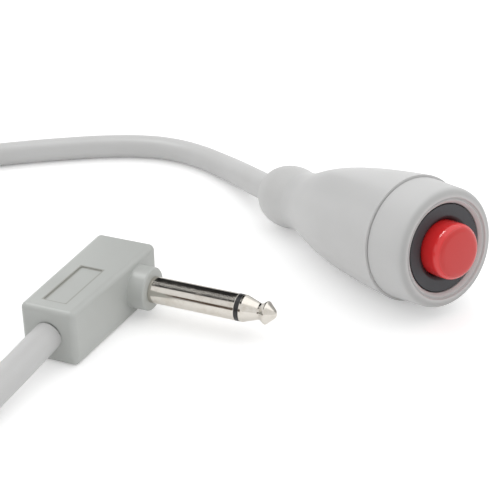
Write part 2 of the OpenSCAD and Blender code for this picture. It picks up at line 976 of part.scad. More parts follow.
pear_housing();
strain_relief();
cord_tail();
cord_ferrule();
front_cap();
cap_seal();
switch_body();
bezel_gasket();
lock_washer();
mounting_nut();
button_cap();
plunger();
return_spring();
contact_bridge();
bridge_retainer();
switch_base();
terminals();
terminal_sleeves();
lead_wires();
cord_run();
cord_coil();
cord_end();
plug_body();
plug_cord_tail();
plug_sleeve();
plug_insulating_ring();
plug_rod_tube();
plug_tip();
tip_lug();
sleeve_lug();
plug_wires();
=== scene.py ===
import math

import bmesh
import bpy
from mathutils import Matrix, Quaternion, Vector


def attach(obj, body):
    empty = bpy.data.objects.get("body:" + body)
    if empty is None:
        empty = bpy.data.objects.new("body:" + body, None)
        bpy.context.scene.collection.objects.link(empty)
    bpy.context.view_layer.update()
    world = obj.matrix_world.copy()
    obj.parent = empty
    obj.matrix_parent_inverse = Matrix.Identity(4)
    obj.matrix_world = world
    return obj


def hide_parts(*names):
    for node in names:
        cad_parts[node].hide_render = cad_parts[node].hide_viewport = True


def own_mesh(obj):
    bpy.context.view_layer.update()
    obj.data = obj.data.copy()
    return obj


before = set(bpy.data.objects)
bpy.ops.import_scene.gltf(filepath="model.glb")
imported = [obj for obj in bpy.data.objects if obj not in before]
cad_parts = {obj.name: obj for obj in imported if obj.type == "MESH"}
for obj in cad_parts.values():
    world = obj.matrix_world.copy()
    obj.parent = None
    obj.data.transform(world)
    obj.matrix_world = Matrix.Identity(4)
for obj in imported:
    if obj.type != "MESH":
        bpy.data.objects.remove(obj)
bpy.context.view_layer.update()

mm = 0.001

# Camera. It stands where the photograph's did, which was fitted to the seam, the bezel, the button
# and the outline of the handset. The picture is 500 pixels square.
view_azimuth, view_elevation = math.radians(-35.04), math.radians(27.33)
view_roll = math.radians(-0.82)
view_distance = 0.30522
view_target = Vector((-0.006347, -0.028687, 0.010798))
view_from = Vector((
    math.cos(view_elevation) * math.cos(view_azimuth),
    math.cos(view_elevation) * math.sin(view_azimuth),
    math.sin(view_elevation),
))
camera_data = bpy.data.cameras.new("camera")
camera_data.sensor_width = 36
camera_data.lens = 91.43
camera_data.clip_start = 0.01
camera = bpy.data.objects.new("camera", camera_data)
camera.location = view_target + view_distance * view_from
camera.rotation_mode = "QUATERNION"
camera.rotation_quaternion = view_from.to_track_quat("Z", "Y") @ Quaternion((0, 0, 1), view_roll)
bpy.context.collection.objects.link(camera)
bpy.context.scene.camera = camera

# Lead. A round two-core lead with a soft grey PVC jacket, 6.8 mm thick and a little thicker by the
# handset's collar. It lies along the table, and the spare length is put away as a flat coil outside
# the view. The free end comes back to the plug.
lead_r = 0.0034
lead_start = Vector((-0.0352378, 0, 0.00771909))
lead_run = [
    (-0.045, 0.0016, 0.00645), (-0.055, 0.00335, 0.0048), (-0.066, 0.00375, 0.00355),
    (-0.077, 0.0022, 0.0034), (-0.086, -0.0015, 0.0034), (-0.093, -0.0072, 0.0034),
    (-0.0993, -0.0155, 0.0034), (-0.1049, -0.0257, 0.0034), (-0.1102, -0.037, 0.0034),
    (-0.115, -0.049, 0.0034), (-0.120, -0.0615, 0.0034), (-0.124, -0.075, 0.0034),
    (-0.127, -0.0885, 0.0034), (-0.129, -0.102, 0.0034), (-0.1305, -0.113, 0.0034),
]
lead_end = [
    (-0.054, -0.178, 0.010), (-0.042, -0.177, 0.0076), (-0.031, -0.1755, 0.005),
    (-0.020, -0.1725, 0.0037), (-0.009, -0.167, 0.0034), (0.001, -0.1585, 0.0034),
    (0.008, -0.148, 0.0034), (0.0125, -0.136, 0.0034), (0.013, -0.124, 0.0034),
    (0.010, -0.1125, 0.0037), (0.0045, -0.1015, 0.005),
]
plug_entry = Vector((-0.00589826, -0.0834692, 0.0068))
swell_by_collar = (1.07, 1.1, 1.07, 1.03)
sag_by_collar = (0, 0.0004, 0.0003, 0)
coil_middle_x, coil_middle_y = -0.081, -0.130
coil_r, coil_pitch = 0.050, 0.0073
coil_turns = 6.264
reversing_turns = 0.5
points_per_turn = 24


def coil_angle(turn):
    """The angle about the coil's middle after so many turns."""
    return math.pi + 2 * math.pi * turn


def coil_point(turn):
    """The coil spirals in, climbs a layer while it reverses, and spirals out on top."""
    angle = coil_angle(turn)
    radius = coil_r - coil_pitch * min(turn, coil_turns - turn)
    share = min(max((turn - coil_turns / 2) / reversing_turns + 0.5, 0), 1)
    climb = (1 - math.cos(math.pi * share)) / 2
    return Vector((
        coil_middle_x + radius * math.cos(angle), coil_middle_y + radius * math.sin(angle),
        lead_r + coil_pitch * climb,
    ))


def coil_heading(turn):
    """The way that the coil runs after so many turns."""
    angle = coil_angle(turn)
    return Vector((-math.sin(angle), math.cos(angle), 0))


coil_steps = round(coil_turns * points_per_turn)
lead_route = [
    lead_start, *lead_run,
    coil_point(0) - 2 * lead_r * coil_heading(0),
    *[coil_point(coil_turns * i / coil_steps) for i in range(coil_steps + 1)],
    coil_point(coil_turns) + 2 * lead_r * coil_heading(coil_turns),
    *lead_end, plug_entry,
]
lead_curve = bpy.data.curves.new("lead", "CURVE")
lead_curve.dimensions = "3D"
lead_curve.resolution_u = 4
lead_curve.bevel_depth = lead_r
lead_curve.bevel_resolution = 6
lead_curve.use_fill_caps = True
lead_spline = lead_curve.splines.new("BEZIER")
lead_spline.bezier_points.add(len(lead_route) - 1)
for point, place in zip(lead_spline.bezier_points, lead_route):
    point.co = place
    point.handle_left_type = point.handle_right_type = "AUTO"
for point, swell, sag in zip(lead_spline.bezier_points, swell_by_collar, sag_by_collar):
    point.radius = swell
    point.co.z -= sag
lead = bpy.data.objects.new("lead", lead_curve)
bpy.context.collection.objects.link(lead)


def make_group(name, given, put_out):
    """A shader node group with named inputs and their defaults, and named outputs."""
    group = bpy.data.node_groups.new(name, "ShaderNodeTree")
    for socket, kind, value in given:
        made = group.interface.new_socket(socket, in_out="INPUT", socket_type="NodeSocket" + kind)
        made.default_value = value
    for socket, kind in put_out:
        group.interface.new_socket(socket, in_out="OUTPUT", socket_type="NodeSocket" + kind)
    return group, group.nodes.new("NodeGroupInput"), group.nodes.new("NodeGroupOutput")


def add_math(nodes, operation, *values):
    """A maths node with some of its plain values set; None leaves a value to a link."""
    node = nodes.new("ShaderNodeMath")
    node.operation = operation
    for socket, value in zip(node.inputs, values):
        if value is not None:
            socket.default_value = value
    return node


def add_noise(nodes, scale, detail, roughness=0.5):
    """A noise texture with its scale, detail and roughness set."""
    node = nodes.new("ShaderNodeTexNoise")
    node.inputs["Scale"].default_value = scale
    node.inputs["Detail"].default_value = detail
    node.inputs["Roughness"].default_value = roughness
    return node


def add_range(nodes, low, high, to_low=0.0, to_high=1.0, kind="LINEAR"):
    """A map from one range of values to another; None leaves a value to a link."""
    node = nodes.new("ShaderNodeMapRange")
    node.interpolation_type = kind
    for socket, value in (
        ("From Min", low), ("From Max", high), ("To Min", to_low), ("To Max", to_high),
    ):
        if value is not None:
            node.inputs[socket].default_value = value
    return node


def add_mix(nodes, colour=None):
    """A mix from colour A to colour B, which is set where one is given."""
    node = nodes.new("ShaderNodeMix")
    node.data_type = "RGBA"
    if colour:
        node.inputs["B"].default_value = (*colour, 1)
    return node


def moulded_group():
    """Moulded plastic: a fine satin grain from the tool, faint clouds, and painted shade where asked.
    """
    group, given, result = make_group("moulded_finish", (
        ("Color", "Color", (0.6, 0.6, 0.6, 1)), ("Soil And Shade", "Color", (0.5, 0.48, 0.44, 1)),
        ("Soiling", "Float", 0.1), ("Painted Shade", "Float", 0.0), ("Roughness", "Float", 0.45),
        ("Polish", "Float", 0.06), ("Grain Size", "Float", 4000.0), ("Grain Depth", "Float", 0.1),
    ), (("Color", "Color"), ("Roughness", "Float"), ("Normal", "Vector")))
    nodes, links = group.nodes, group.links
    place = nodes.new("ShaderNodeTexCoord")
    clouds = add_noise(nodes, scale=55, detail=4, roughness=0.6)
    patches = add_range(nodes, low=0.42, high=0.75)
    # The last input here is painted shade: it adds to the soil clouds and mixes towards the same
    # colour.
    amount = add_math(nodes, "MULTIPLY_ADD")
    amount.use_clamp = True
    tint = add_mix(nodes)
    rub = add_math(nodes, "MULTIPLY_ADD")
    grain = add_noise(nodes, scale=1, detail=2)
    bump = nodes.new("ShaderNodeBump")
    bump.inputs["Distance"].default_value = 0.00004
    for start, end in (
        (place.outputs["Object"], clouds.inputs["Vector"]),
        (place.outputs["Object"], grain.inputs["Vector"]),
        (clouds.outputs["Fac"], patches.inputs["Value"]),
        (patches.outputs["Result"], amount.inputs[0]),
        (given.outputs["Soiling"], amount.inputs[1]),
        (given.outputs["Painted Shade"], amount.inputs[2]),
        (amount.outputs["Value"], tint.inputs["Factor"]),
        (given.outputs["Color"], tint.inputs["A"]),
        (given.outputs["Soil And Shade"], tint.inputs["B"]),
        (tint.outputs["Result"], result.inputs["Color"]),
        (patches.outputs["Result"], rub.inputs[0]),
        (given.outputs["Polish"], rub.inputs[1]),
        (given.outputs["Roughness"], rub.inputs[2]),
        (rub.outputs["Value"], result.inputs["Roughness"]),
        (given.outputs["Grain Size"], grain.inputs["Scale"]),
        (grain.outputs["Fac"], bump.inputs["Height"]),
        (given.outputs["Grain Depth"], bump.inputs["Strength"]),
        (bump.outputs["Normal"], result.inputs["Normal"]),
    ):
        links.new(start, end)
    return group


moulded_finish = moulded_group()


def with_finish(name, finish_group, values):
    """A material whose colour, roughness and normal come from a finish group."""
    material = bpy.data.materials.new(name)
    material.use_nodes = True
    nodes, links = material.node_tree.nodes, material.node_tree.links
    shader = nodes["Principled BSDF"]
    finish = nodes.new("ShaderNodeGroup")
    finish.name = "finish"
    finish.node_tree = finish_group
    for socket, value in values:
        finish.inputs[socket].default_value = value
    links.new(finish.outputs["Color"], shader.inputs["Base Color"])
    links.new(finish.outputs["Roughness"], shader.inputs["Roughness"])
    links.new(finish.outputs["Normal"], shader.inputs["Normal"])
    return material, shader


def moulded(
        name, colour, soil_and_shade, soiling, roughness, polish, grain_size, grain_depth, specular=0.5,
        coat=0.0):
    """A plastic or rubber in the moulded finish; constants sit on the shader's own sockets."""
    material, shader = with_finish(name, moulded_finish, (
        ("Color", (*colour, 1)), ("Soil And Shade", (*soil_and_shade, 1)), ("Soiling", soiling),
        ("Roughness", roughness), ("Polish", polish), ("Grain Size", grain_size),
        ("Grain Depth", grain_depth),
    ))
    shader.inputs["Specular IOR Level"].default_value = specular
    shader.inputs["Coat Weight"].default_value = coat
    shader.inputs["Coat Roughness"].default_value = 0.12
    return material


def finish_nodes(material, *names):
    """Gives a material to CAD nodes whose shape is kept."""
    for name in names:
        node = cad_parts[name]
        if not node.data.materials:
            node.data.materials.append(material)
        for slot in node.material_slots:
            slot.material = material


lead_jacket = moulded(
    "lead_jacket", colour=(0.612, 0.612, 0.608), soil_and_shade=(0.50, 0.494, 0.48), soiling=0.25,
    roughness=0.42, polish=0.08, grain_size=2600, grain_depth=0.12)
lead_curve.materials.append(lead_jacket)
finish_nodes(lead_jacket, "cord_tail", "plug_cord_tail")
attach(lead, "handset")
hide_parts("cord_run", "cord_coil", "cord_end")

# Strain relief. A soft collar of the same grey, moulded round the lead, with a full rounded back
# and a slight waist where it meets the housing. Its spigot and flange snap into the neck.
handset_tilt = math.radians(8.5)
handset_place = (
    Matrix.Translation(lead_start) @ Matrix.Rotation(math.pi / 2 - handset_tilt, 4, "Y"))


def filleted(corners):
    """A profile of (radius, height) points; a third number rounds that corner to that radius."""
    degrees_per_step = 12
    most_of_a_side = 0.49
    points = []
    for i, corner in enumerate(corners):
        here = Vector(corner[:2])
        if len(corner) < 3:
            points.append(here)
            continue
        before = Vector(corners[i - 1][:2]) - here
        after = Vector(corners[(i + 1) % len(corners)][:2]) - here
        half = before.angle(after) / 2
        reach = min(
            corner[2] / math.tan(half), most_of_a_side * before.length,
            most_of_a_side * after.length)
        radius = reach * math.tan(half)
        middle = here + (before.normalized() + after.normalized()).normalized() * (
            radius / math.sin(half))
        start = here + before.normalized() * reach - middle
        end = here + after.normalized() * reach - middle
        turn = start.angle_signed(end)
        steps = max(2, math.ceil(math.degrees(abs(turn)) / degrees_per_step))
        for k in range(steps + 1):
            arm = start.copy()
            arm.rotate(Matrix.Rotation(-turn * k / steps, 2))
            points.append(middle + arm)
    return points


def link_piece(name, bm, place):
    """A mesh piece from a bmesh in a piece's own frame, smooth with flat faces kept flat."""
    bmesh.ops.remove_doubles(bm, verts=bm.verts, dist=1e-7)
    bmesh.ops.recalc_face_normals(bm, faces=bm.faces)
    mesh = bpy.data.meshes.new(name)
    bm.to_mesh(mesh)
    bm.free()
    mesh.transform(place)
    mesh.shade_smooth()
    mesh.set_sharp_from_angle(angle=math.radians(32))
    piece = bpy.data.objects.new(name, mesh)
    bpy.context.collection.objects.link(piece)
    weighted = piece.modifiers.new("flat_faces_stay_flat", "WEIGHTED_NORMAL")
    weighted.keep_sharp = True
    return piece


def turned(name, corners, place, sides=144):
    """A solid of revolution about a piece's own z axis, from a closed profile in millimetres."""
    bm = bmesh.new()
    rings = []
    for radius, height in filleted(corners):
        if radius < 1e-6:
            rings.append([bm.verts.new((0, 0, height * mm))])
            continue
        rings.append([
            bm.verts.new((
                radius * mm * math.cos(2 * math.pi * k / sides),
                radius * mm * math.sin(2 * math.pi * k / sides), height * mm))
            for k in range(sides)
        ])
    for low, high in zip(rings, rings[1:] + rings[:1]):
        if len(low) == len(high) == 1:
            continue
        for k in range(sides):
            after = (k + 1) % sides
            if len(low) == 1:
                bm.faces.new((low[0], high[after], high[k]))
            elif len(high) == 1:
                bm.faces.new((low[k], low[after], high[0]))
            else:
                bm.faces.new((low[k], low[after], high[after], high[k]))
    return link_piece(name, bm, place)


def dress(piece, material, slot, body, *nodes):
    """Gives a piece its material, the body it rides on, and the CAD nodes it stands for; slot is not
    used.
    """
    piece.data.materials.append(material)
    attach(piece, body)
    if nodes:
        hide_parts(*nodes)


def arc(middle_r, middle_z, radius, first, last, step=5):
    """Points on an arc of the profile, from one angle to another, in degrees."""
    count = math.ceil(abs(last - first) / step)
    return [
        (middle_r + radius * math.cos(math.radians(first + (last - first) * i / count)),
         middle_z + radius * math.sin(math.radians(first + (last - first) * i / count)))
        for i in range(count + 1)
    ]


collar_bore_r, collar_lip_r, collar_r, neck_r = 3.45, 4.25, 8.3, 7.8
collar_spigot_r, collar_flange_r = 5.4, 6.3
back_depth, waist_dip, waist_length, waist_steps = 8, 0.25, 4.85, 12
collar_back = [
    (collar_lip_r + (collar_r - collar_lip_r) * math.sin(math.radians(a)),
     back_depth * (1 - math.cos(math.radians(a))))
    for a in range(6, 91, 4)
]
collar_waist = [
    (collar_r - waist_dip * (1 - math.cos(math.pi * t / waist_steps)),
     back_depth + waist_length * t / waist_steps)
    for t in range(1, waist_steps)
]
collar = turned("collar", [
    (collar_bore_r, 0.6), (3.75, 0.0, 0.5), (collar_lip_r, 0.0, 0.2), *collar_back,
    *collar_waist, (neck_r, 12.9), (neck_r, 13.19, 0.05), (collar_spigot_r, 13.19),
    (collar_spigot_r, 19.8), (collar_flange_r, 19.8, 0.2), (collar_flange_r, 21.3, 0.2),
    (collar_bore_r, 21.3),
], handset_place)
collar_plastic = moulded(
    "collar_plastic", colour=(0.63, 0.63, 0.625), soil_and_shade=(0.46, 0.45, 0.43), soiling=0.22,
    roughness=0.50, polish=0.07, grain_size=2400, grain_depth=0.16)
dress(collar, collar_plastic, "soft_plastic", "handset", "strain_relief")


# Ferrule. A zinc plated steel ring crimped on the lead's jacket inside the neck, so that a pull on
# the lead is taken by the collar's flange and not by the soldered wires.
def metal_group():
    """Worked metal: faint turning lines about the piece's own axis, and specks of tarnish."""
    group, given, result = make_group("metal_finish", (
        ("Color", "Color", (0.7, 0.7, 0.7, 1)), ("Tarnish", "Color", (0.4, 0.36, 0.3, 1)),
        ("Tarnishing", "Float", 0.2), ("Roughness", "Float", 0.25),
        ("Axis Place", "Vector", (0, 0, 0)), ("Axis Turn", "Vector", (0, 0, 0)),
        ("Line Depth", "Float", 0.1),
    ), (("Color", "Color"), ("Roughness", "Float"), ("Normal", "Vector")))
    nodes, links = group.nodes, group.links
    place = nodes.new("ShaderNodeTexCoord")
    along = nodes.new("ShaderNodeMapping")
    along.vector_type = "TEXTURE"
    stretch = nodes.new("ShaderNodeVectorMath")
    stretch.operation = "MULTIPLY"
    stretch.inputs[1].default_value = (60, 60, 9000)
    lines = add_noise(nodes, scale=1, detail=3)
    spots = add_noise(nodes, scale=420, detail=5, roughness=0.65)
    patches = add_range(nodes, low=0.48, high=0.72)
    amount = add_math(nodes, "MULTIPLY")
    tint = add_mix(nodes)
    dull = add_math(nodes, "MULTIPLY_ADD", None, 0.35)
    bump = nodes.new("ShaderNodeBump")
    bump.inputs["Distance"].default_value = 0.00001
    for start, end in (
        (place.outputs["Object"], along.inputs["Vector"]),
        (given.outputs["Axis Place"], along.inputs["Location"]),
        (given.outputs["Axis Turn"], along.inputs["Rotation"]),
        (along.outputs["Vector"], stretch.inputs[0]),
        (stretch.outputs["Vector"], lines.inputs["Vector"]),
        (place.outputs["Object"], spots.inputs["Vector"]),
        (spots.outputs["Fac"], patches.inputs["Value"]),
        (patches.outputs["Result"], amount.inputs[0]),
        (given.outputs["Tarnishing"], amount.inputs[1]),
        (amount.outputs["Value"], tint.inputs["Factor"]),
        (given.outputs["Color"], tint.inputs["A"]),
        (given.outputs["Tarnish"], tint.inputs["B"]),
        (tint.outputs["Result"], result.inputs["Color"]),
        (amount.outputs["Value"], dull.inputs[0]),
        (given.outputs["Roughness"], dull.inputs[2]),
        (dull.outputs["Value"], result.inputs["Roughness"]),
        (lines.outputs["Fac"], bump.inputs["Height"]),
        (given.outputs["Line Depth"], bump.inputs["Strength"]),
        (bump.outputs["Normal"], result.inputs["Normal"]),
    ):
        links.new(start, end)
    return group


metal_finish = metal_group()


def metal(name, colour, tarnish, tarnishing, roughness, line_depth, place):
    """A metal turned about the z axis of its place."""
    material, shader = with_finish(name, metal_finish, (
        ("Color", (*colour, 1)), ("Tarnish", (*tarnish, 1)), ("Tarnishing", tarnishing),
        ("Roughness", roughness), ("Axis Place", place.to_translation()),
        ("Axis Turn", place.to_euler()), ("Line Depth", line_depth),
    ))
    shader.inputs["Metallic"].default_value = 1.0
    return material


zinc_steel = metal(
    "zinc_steel", colour=(0.62, 0.62, 0.64), tarnish=(0.36, 0.34, 0.30), tarnishing=0.45,
    roughness=0.32, line_depth=0.25, place=handset_place)
finish_nodes(zinc_steel, "cord_ferrule")

# Housing. One moulded shell that swells from the neck in a long even curve to 30.5 mm, with a wall
# of 2 mm. Its rim stands proud of the cap. The mouth has a rebate for the seal and a socket with a
# groove that the cap snaps into.
housing_r, rebate_r, socket_r, neck_hole_r, housing_wall = 15.25, 13.85, 13.25, 5.45, 2
curve_from, curve_pull_low, curve_pull_high, curve_to = (
    Vector(p) for p in ((neck_r, 13.55), (neck_r, 21.8), (12.866, 20.08), (housing_r, 55.85)))
curve_steps = 64
inside_low_z, inside_high_z = 20.0, 50.4
housing_outside = []
for step in range(1, curve_steps):
    t = step / curve_steps
    housing_outside.append(tuple(
        (1 - t) ** 3 * curve_from + 3 * t * (1 - t) ** 2 * curve_pull_low
        + 3 * t * t * (1 - t) * curve_pull_high + t ** 3 * curve_to))
housing_inside = [
    (min(r - housing_wall, socket_r), z)
    for r, z in housing_outside if inside_low_z < z < inside_high_z
]
housing = turned("housing", [
    (neck_hole_r, 13.21), (neck_r, 13.21, 0.05), (neck_r, 13.5), *housing_outside,
    (housing_r, 56.18, 0.14), (14.5, 56.18, 0.06), (14.4, 56.0), (rebate_r, 55.9), (rebate_r, 55.4),
    (socket_r, 55.4), (socket_r, 52.4), (13.45, 51.85), (socket_r, 51.3), (socket_r, 50.6, 0.2),
    *reversed(housing_inside), (neck_hole_r, 19.8),
], handset_place)


def add_local_place(nodes, links, place):
    """The place on a piece in the piece's own frame, in millimetres, parted into X, Y and Z."""
    coordinates = nodes.new("ShaderNodeTexCoord")
    local = nodes.new("ShaderNodeMapping")
    local.vector_type = "TEXTURE"
    local.inputs["Location"].default_value = place.to_translation()
    local.inputs["Rotation"].default_value = place.to_euler()
    local.inputs["Scale"].default_value = (mm, mm, mm)
    parts = nodes.new("ShaderNodeSeparateXYZ")
    links.new(coordinates.outputs["Object"], local.inputs["Vector"])
    links.new(local.outputs["Vector"], parts.inputs["Vector"])
    return parts


def place_group():
    """Distance along the handset's axis and radius from it, in millimetres."""
    group, _, result = make_group(
        "place_on_handset", (), (("Along", "Float"), ("Radius", "Float")))
    nodes, links = group.nodes, group.links
    parts = add_local_place(nodes, links, handset_place)
    across = nodes.new("ShaderNodeCombineXYZ")
    length = nodes.new("ShaderNodeVectorMath")
    length.operation = "LENGTH"
    links.new(parts.outputs["X"], across.inputs["X"])
    links.new(parts.outputs["Y"], across.inputs["Y"])
    links.new(across.outputs["Vector"], length.inputs[0])
    links.new(parts.outputs["Z"], result.inputs["Along"])
    links.new(length.outputs["Value"], result.inputs["Radius"])
    return group


place_on_handset = place_group()


def mask_near(material, output, middle, reach, strength):
    """A mask that is strongest at one distance along the handset, or out from its axis."""
    nodes, links = material.node_tree.nodes, material.node_tree.links
    spot = nodes.new("ShaderNodeGroup")
    spot.node_tree = place_on_handset
    apart = add_math(nodes, "SUBTRACT", None, middle)
    away = add_math(nodes, "ABSOLUTE")
    near = add_range(nodes, 0.0, reach, strength, 0.0, "SMOOTHERSTEP")
    links.new(spot.outputs[output], apart.inputs[0])
    links.new(apart.outputs["Value"], away.inputs[0])
    links.new(away.outputs["Value"], near.inputs["Value"])
    return near.outputs["Result"]


def painted_shade_near(material, *spots):
    """Painted shade in seams, steps, wells and on a shoulder; the strongest of the spots counts.

    A spot says whether it is measured along the handset or out from its axis, and then its middle,
    its reach and its strength.
    """
    tree = material.node_tree
    masks = [mask_near(material, *spot) for spot in spots]
    while len(masks) > 1:
        most = add_math(tree.nodes, "MAXIMUM")
        tree.links.new(masks.pop(), most.inputs[0])
        tree.links.new(masks.pop(), most.inputs[1])
        masks.append(most.outputs["Value"])
    tree.links.new(masks[0], tree.nodes["finish"].inputs["Painted Shade"])


housing_plastic = moulded(
    "housing_plastic", colour=(0.63, 0.63, 0.627), soil_and_shade=(0.40, 0.392, 0.375), soiling=0.10,
    roughness=0.40, polish=0.08, grain_size=3200, grain_depth=0.12)
# Painted shade: the housing is darkened next to the seam, where shade falls.
painted_shade_near(housing_plastic, ("Along", 56.25, 0.35, 0.15))
dress(housing, housing_plastic, "housing_plastic", "handset", "pear_housing")

# Front cap. A short moulded ring with nearly straight sides, a tight round shoulder and a flat rim.
# Inside the rim a fine step runs round, and a lighter ring slopes down to the bezel. The panel
# behind the bezel is clamped by the switch, and the spigot snaps into the housing.
cap_base_z, cap_lip_z, cap_step_z, cap_foot_z = 56.22, 67.1, 66.6, 51.0
cap_spigot_r, cap_bore_r, cap_recess_r, switch_hole_r = 13.2, 12.2, 10.6, 8.05
panel_top_z, panel_back_z, bead_z = 63.8, 62.0, 51.85
shoulder_middle_r, shoulder_middle_z, shoulder_r = 12.4, 65.3, 1.8
cap = turned("cap", [
    (cap_spigot_r, cap_base_z), (rebate_r, cap_base_z), (14.5, 56.24, 0.05), (14.65, 56.4, 0.1),
    (14.21, 65.2), *arc(shoulder_middle_r, shoulder_middle_z, shoulder_r, 0, 90),
    (12.05, cap_lip_z, 0.12),
    (11.86, cap_step_z, 0.1), (11.52, cap_step_z, 0.1), (11.4, 66.82, 0.14),
    (10.95, 66.45, 0.12), (cap_recess_r, 66.05, 0.1), (cap_recess_r, panel_top_z),
    (switch_hole_r, panel_top_z), (switch_hole_r, panel_back_z), (cap_bore_r, panel_back_z),
    (cap_bore_r, cap_foot_z), (12.85, cap_foot_z, 0.1), (cap_spigot_r, 51.35), (13.4, bead_z),
    (cap_spigot_r, 52.35),
], handset_place)
cap_plastic = moulded(
    "cap_plastic", colour=(0.63, 0.63, 0.627), soil_and_shade=(0.39, 0.392, 0.385), soiling=0.09,
    roughness=0.50, polish=0.08, grain_size=3200, grain_depth=0.12, specular=0.35)
# Painted shade: darker by the seam, in a broad band over the shoulder and rim, and in the fine step
# inside the rim.
painted_shade_near(
    cap_plastic, ("Along", 56.2, 0.45, 0.15), ("Radius", 13.2, 1.25, 0.55),
    ("Radius", 11.7, 0.35, 0.45))
dress(cap, cap_plastic, "housing_plastic", "handset", "front_cap")

# Cap seal and bezel washer. Both are plain black rubber: one lies in the rebate of the seam, the
# other is squeezed between the bezel and the cap's panel.
black_rubber = moulded(
    "black_rubber", colour=(0.018, 0.018, 0.019), soil_and_shade=(0.05, 0.048, 0.045), soiling=0.4,
    roughness=0.62, polish=0.1, grain_size=1800, grain_depth=0.3)
finish_nodes(black_rubber, "cap_seal", "bezel_gasket")

# Switch body. One moulding in dark grey plastic: a flat bezel with a fine bevel, a shallow well
# around the button, the guide that the button slides in, and the threaded barrel behind the panel.
bezel_r, barrel_r, chamber_r, button_guide_r, web_hole_r = 10.4, 7.95, 6.55, 6.7, 2.05
bezel_face_z, bezel_back_z, web_top_z, web_back_z, barrel_foot_z = 66.1, 64.4, 58.0, 55.4, 46.2
switch_body = turned("bezel_and_barrel", [
    (bezel_r, bezel_face_z, 0.25), (bezel_r, bezel_back_z), (barrel_r, bezel_back_z),
    (barrel_r, barrel_foot_z), (chamber_r, barrel_foot_z), (chamber_r, web_back_z),
    (web_hole_r, web_back_z), (web_hole_r, web_top_z), (button_guide_r, web_top_z),
    (button_guide_r, 65.5, 0.15), (7.05, 65.75, 0.35), (7.6, bezel_face_z, 0.5),
], handset_place)
bezel_plastic = moulded(
    "bezel_plastic", colour=(0.045, 0.048, 0.054), soil_and_shade=(0.015, 0.016, 0.018), soiling=0.12,
    roughness=0.46, polish=0.1, grain_size=2600, grain_depth=0.2)
# Painted shadow: a dark ring round the button's foot in the well, and painted shade along the bezel's
# edge beside the cap.
painted_shade_near(bezel_plastic, ("Radius", 6.7, 1.5, 0.85), ("Radius", 10.45, 0.3, 0.9))
dress(switch_body, bezel_plastic, "black_plastic", "handset", "switch_body")

# Washer and nut. Zinc plated steel: a washer behind the cap's panel, and a hexagon nut on the
# barrel's thread. They pull the bezel and its rubber washer down on the panel.
finish_nodes(zinc_steel, "lock_washer", "mounting_nut")

# Button. A red moulded cap with a glossy side, a rounded edge and a face that is fingered to a
# satin finish. A hub inside takes the plunger.
button_r, button_bore_r, hub_r, hub_bore_r, button_edge_r = 6.6, 5.5, 3.3, 2.02, 2.1
button_foot_z, hub_foot_z, ceiling_z, button_top_z = 61.0, 65.9, 69.5, 71.4
button = turned("button", [
    (0, ceiling_z), (hub_bore_r, ceiling_z), (hub_bore_r, hub_foot_z), (hub_r, hub_foot_z),
    (hub_r, ceiling_z), (button_bore_r, ceiling_z), (button_bore_r, button_foot_z),
    (button_r, button_foot_z, 0.15), (button_r, 68.9),
    *arc(button_r - button_edge_r, 69.1, button_edge_r, 0, 84, step=6),
    (4.2, 71.24), (3.4, 71.29), (2.4, 71.34), (1.2, 71.38), (0, button_top_z),
], handset_place)


def satin_face(material, face_colour, face_roughness, rubbed_r, glossy_r):
    """The side stays glossy and deep red; inside a given radius the face turns satin and a darker
    red.
    """
    nodes, links = material.node_tree.nodes, material.node_tree.links
    finish = nodes["finish"]
    spot = nodes.new("ShaderNodeGroup")
    spot.node_tree = place_on_handset
    rubbed = add_range(nodes, rubbed_r, glossy_r, 1.0, 0.0, "SMOOTHSTEP")
    colour = add_mix(nodes, face_colour)
    colour.inputs["A"].default_value = finish.inputs["Color"].default_value
    roughness = add_range(
        nodes, 0.0, 1.0, finish.inputs["Roughness"].default_value, face_roughness)
    for start, end in (
        (spot.outputs["Radius"], rubbed.inputs["Value"]),
        (rubbed.outputs["Result"], colour.inputs["Factor"]),
        (rubbed.outputs["Result"], roughness.inputs["Value"]),
        (colour.outputs["Result"], finish.inputs["Color"]),
        (roughness.outputs["Result"], finish.inputs["Roughness"]),
    ):
        links.new(start, end)


button_plastic = moulded(
    "button_plastic", colour=(0.80, 0.026, 0.028), soil_and_shade=(0.62, 0.10, 0.09), soiling=0.08,
    roughness=0.13, polish=0.05, grain_size=2200, grain_depth=0.06, coat=0.3)
satin_face(
    button_plastic, face_colour=(0.62, 0.022, 0.020), face_roughness=0.36, rubbed_r=5.6,
    glossy_r=6.15)
dress(button, button_plastic, "red_plastic", "button", "button_cap")

# Plunger. Natural nylon, pressed into the button's hub. Its collar stops the button under the web
# and its thin end carries the bridge.
natural_plastic = moulded(
    "natural_plastic", colour=(0.74, 0.73, 0.68), soil_and_shade=(0.62, 0.58, 0.48), soiling=0.3,
    roughness=0.38, polish=0.08, grain_size=2000, grain_depth=0.1)
finish_nodes(natural_plastic, "plunger")

# Return spring. Six turns of spring steel wire between the web and the underside of the button.
# The real one shortens as the button is pressed; this mesh keeps its free height on the handset.
spring_low, spring_high, spring_r, spring_wire_r = 58.32, 69.18, 4.4, 0.3


